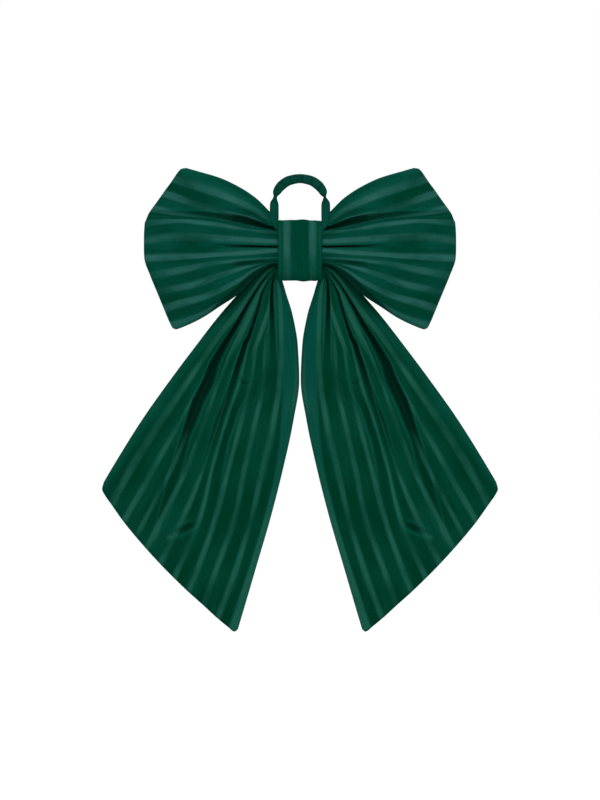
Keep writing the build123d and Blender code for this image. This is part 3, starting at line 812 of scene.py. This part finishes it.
def velvet(name, dark=DARK_VELVET, bright=BRIGHT_VELVET, light=LIGHT_STRIPE, stripes=None, worn=0.72,
           rim_sheen=0.0):
    """Cotton velvet, brushed in patches, with painted shade in its folds and painted highlights on its ridges
    and along given lines.

    Stripes are the settings of satin_stripes, and worn is how much of them is rubbed away in places. The rim,
    where there is one, is the distance across the strip at which a last broad stripe begins, with a teal
    painted sheen along the rolled edge."""
    finish = Finish(name)
    flat = finish.add("UVMap", uv_map="UVMap")
    across = finish.add("SeparateXYZ", {0: flat}) * (1 / MM)
    along = finish.add("SeparateXYZ", {0: flat}, output=1)
    pile = finish.noise(flat, 800.0, 4.0)
    threads = finish.streaks(flat, 900.0, 22.0)
    brushed = finish.streaks(flat, 46.0, 14.0, 3.0)
    colour = finish.mix(finish.step(brushed, 0.36, 0.66), dark, bright)
    rough = PILE_ROUGHNESS
    if stripes:
        band = satin_stripes(finish, flat, across, along, **stripes)
        if rim_sheen:
            # painted sheen: a teal band along the tail's rolled inner edge, which also widens the last light
            # stripe
            lower = finish.step(along, *RIM_GROWS)
            begins = lower * RIM_SHIFT + (rim_sheen - RIM_SHIFT)
            edge = finish.step(across - begins, -STRIPE_BLUR, STRIPE_BLUR)
            colour = finish.mix(edge * 0.8, colour, PAINTED_RIM_SHEEN)
            band = finish.sum("MAXIMUM", band, edge * lower)
        kept = finish.step(finish.streaks(flat, 32.0, 18.0), 0.34, 0.62)
        band = band * (kept * worn + (0.96 - worn)) * (threads * 0.7 + 0.65)
        colour = finish.mix(band, colour, light)
        rough = PILE_ROUGHNESS - band * 0.25
    # painted highlight: lighter on the ridges, standing also for the pile that opens there
    colour = finish.mix(finish.attribute("ridge_highlight") * 0.5, colour, PAINTED_RIDGE_HIGHLIGHT)
    # painted highlights: the lines of the highlight tables, in the light stripes' colour
    colour = finish.mix(finish.attribute("light") * (threads * 0.6 + 0.6), colour, light)
    # painted shade: the deeper the cloth lies in a fold, the nearer its colour comes to the fold shade
    colour = finish.mix(finish.step(finish.attribute("fold"), 0.2, 0.95) * 0.88, colour, FOLD_SHADE)
    tone = pile * 0.9 + threads * 0.24 + 0.43
    grey = finish.add("CombineXYZ", {0: tone, 1: tone, 2: tone})
    colour = finish.add("VectorMath", {0: colour, 1: grey}, operation="MULTIPLY")
    relief = finish.add("Bump", {"Strength": 0.5, "Distance": PILE_RELIEF, "Height": pile + threads * 0.4})
    return finish.set(Base_Color=colour, Roughness=rough, Normal=relief, Specular_IOR_Level=0.0,
                      Sheen_Weight=0.12, Sheen_Roughness=0.45, Sheen_Tint=(0.0, 0.5, 0.4, 1))


def wound_fibre(name, colour, scale, bump):
    """Thread, elastic, wadding and stiffener: a plain colour broken up by fine fibres."""
    finish = Finish(name)
    place = finish.add("TexCoord", output=3)
    fibres = finish.streaks(place, scale, scale, 3.0, deep=scale * 0.3)
    shade = tuple(c * 0.62 for c in colour[:3]) + (1,)
    colour = finish.mix(finish.step(fibres, 0.25, 0.75), shade, colour)
    relief = finish.add("Bump", {"Strength": 0.5, "Distance": bump, "Height": fibres})
    return finish.set(Base_Color=colour, Roughness=0.82, Normal=relief, Sheen_Weight=0.2)


def dress(piece, material):
    piece.data.materials.clear()
    piece.data.materials.append(material)
    return piece


LOOP_VELVET = velvet("striped_velvet_loops", stripes=dict(width=7.0, faint=(0.005, 0.025, 0.4)))
TAIL_VELVET = velvet("striped_velvet_tails", dark=(0.0001, 0.036, 0.0175, 1), bright=(0.001, 0.051, 0.029, 1),
                     light=(0.0125, 0.098, 0.068, 1), stripes=dict(width=5.2, faint=(0.05, 0.13, 0.04)),
                     rim_sheen=169.0)
KNOT_VELVET = velvet("striped_velvet_knot", dark=(0.0001, 0.045, 0.024, 1), bright=(0.0016, 0.058, 0.036, 1),
                     light=(0.02, 0.11, 0.088, 1), worn=0.2,
                     stripes=dict(width=6.4, pitch=25.4, first=9.1, faint=(0.08, 0.1, 0.3)))
STRAP_VELVET = velvet("plain_velvet_strap", dark=(0.0018, 0.051, 0.034, 1),
                      bright=(0.0045, 0.07, 0.048, 1))


def bends(pieces, bend, side=1):
    """Bakes each piece's placing into its mesh. The bend's two points are placed, on the left (-1) or the
    right (1), but the cloth is not turned with them.
    """
    start, end = (tuple(placed((side * x, y, z))) for x, y, z in bend)
    for piece in pieces:
        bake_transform(piece)


def make_loops():
    """Each loop: two panels sewn round the edge, with a wadding pad between them."""
    wadding_finish = wound_fibre("white_wadding", WADDING_WHITE, 700.0, 0.0006)
    layer = filling(loop_front, loop_back, WADDING_GAP)
    for name, side in (("left", -1), ("right", 1)):
        front = cloth(f"{name}_loop_front", "loop_front", loop_front, side, lights=LOOP_PAINTED_HIGHLIGHTS)
        back = cloth(f"{name}_loop_back", "loop_back", loop_back, side, faces_front=False)
        wadding = cloth(f"{name}_loop_wadding_pad", "loop_wadding", layer, side)
        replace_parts(thicken(front, CLOTH), f"{name}_loop_front_panel")
        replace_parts(thicken(back, CLOTH), f"{name}_loop_back_panel")
        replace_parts(sewn_tube(wadding, ends=True), f"{name}_loop_wadding")
        dress(wadding, wadding_finish)
        bends((front, back, wadding), LOOP_BEND, side)
        for piece in (front, back):
            dress(piece, LOOP_VELVET)


def make_tails():
    """Each tail: two panels sewn round the edge, with a thin stiffener between them."""
    interlining_finish = wound_fibre("pale_interlining", INTERLINING_WHITE, 1500.0, 0.0002)
    layer = filling(tail_front, tail_back, math.inf)
    for name, side in (("left", -1), ("right", 1)):
        front = cloth(f"{name}_tail_front", "tail_front", tail_front, side, lights=TAIL_PAINTED_HIGHLIGHTS)
        back = cloth(f"{name}_tail_back", "tail_back", tail_back, side, faces_front=False)
        stiffener = cloth(f"{name}_tail_stiffener", "tail_stiffener", layer, side)
        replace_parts(thicken(front, CLOTH), f"{name}_tail_front_panel", f"{name}_tail_gathered_top")
        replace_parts(thicken(back, CLOTH), f"{name}_tail_back_panel")
        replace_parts(sewn_tube(stiffener, ends=True), f"{name}_tail_interlining")
        dress(stiffener, interlining_finish)
        bends((front, back, stiffener), TAIL_BEND, side)
        for piece in (front, back):
            dress(piece, TAIL_VELVET)


def make_knot():
    """The band round the middle, lapped over itself at the back, and the loops' gathers inside it."""
    band = cloth("knot_band", "knot_band", knot_band, faces_front=False, width=2 * BAND_HALF_WIDTH)
    dress(thicken(band, BAND_CLOTH), KNOT_VELVET)
    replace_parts(band, "knot_wrap")
    waist = cloth("loops_pleated_waist", "pleated_waist", pleated_waist)
    dress(thicken(sewn_tube(waist), WAIST_CLOTH), LOOP_VELVET)
    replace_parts(waist, "loops_waist")
    for piece in (band, waist):
        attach(piece, "knot")


def make_hanger():
    """The covered strap, with its elastic inside, hangs from the hook and runs down into the knot."""
    casing = cloth("hanger_strap", "strap", strap(0), width=20)
    core = cloth("hanger_elastic_core", "elastic", strap(ELASTIC_ROOM), width=16)
    dress(thicken(sewn_tube(casing), STRAP_CLOTH), STRAP_VELVET)
    dress(sewn_tube(core, ends=True), wound_fibre("white_elastic", ELASTIC_WHITE, 1800.0, 0.0002))
    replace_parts(casing, "hanger_casing", "left_hanger_end", "right_hanger_end")
    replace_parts(core, "hanger_elastic")
    bends((casing, core), STRAP_BEND)


def dress_threads():
    """A finish for the threads and stitches, which keep their own shape."""
    thread = wound_fibre("green_thread", THREAD_GREEN, 2500.0, 0.0002)
    for name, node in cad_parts.items():
        if "thread" in name or "stitches" in name:
            dress(node, thread)


def studio():
    """A pale floor under the hanging bow, and broad soft lights at its front, its sides and its back."""
    low, high = cad_box
    middle = (low + high) / 2
    bpy.ops.object.select_all(action="DESELECT")
    bpy.ops.mesh.primitive_plane_add(size=FLOOR_SIZE, location=(0, 0, low.z - FLOOR_BELOW))
    floor = bpy.context.object
    floor.name = "floor"
    finish = Finish("pale_floor")
    glow = finish.mix(finish.seen_straight(), BLACK, WHITE)
    finish.set(Base_Color=FLOOR_PAINT, Roughness=0.9, Emission_Color=glow, Emission_Strength=FLOOR_GLOW)
    dress(floor, finish.material)
    for name, place, power, size in LAMPS:
        bpy.ops.object.light_add(type="AREA", location=place)
        lamp = bpy.context.object
        lamp.name = name
        lamp.data.energy = power
        lamp.data.size = size
        lamp.rotation_euler = (middle - lamp.location).to_track_quat("-Z", "Y").to_euler()
    world = bpy.data.worlds.new("studio")
    bpy.context.scene.world = world
    world.use_nodes = True
    room = Nodes(world.node_tree)
    room.tree.nodes.remove(room.tree.nodes["Background"])
    plain = room.add("Background", {"Color": WHITE, "Strength": ROOM_LIGHT})
    white = room.add("Background", {"Color": WHITE, "Strength": 1.0})
    pick = room.add("MixShader", {0: room.seen_straight(), 1: plain, 2: white})
    room.put(room.tree.nodes["World Output"].inputs["Surface"], pick)
    bpy.context.scene.view_settings.view_transform = "Standard"


def camera():
    """Straight on to the middle of the bow, from far enough that it looks flat."""
    place = placed((0, 0, VIEW_MIDDLE_Z)) - np.array((0, VIEW_DISTANCE, 0))
    bpy.ops.object.camera_add(location=place, rotation=(math.pi / 2, 0, 0))
    seen = bpy.context.object
    seen.name = "camera"
    seen.data.type = "PERSP"
    seen.data.sensor_width = SENSOR
    seen.data.lens = SENSOR * VIEW_DISTANCE / VIEW_HEIGHT
    bpy.context.scene.camera = seen


camera()
studio()
dress_threads()
make_loops()
make_tails()
make_knot()
make_hanger()
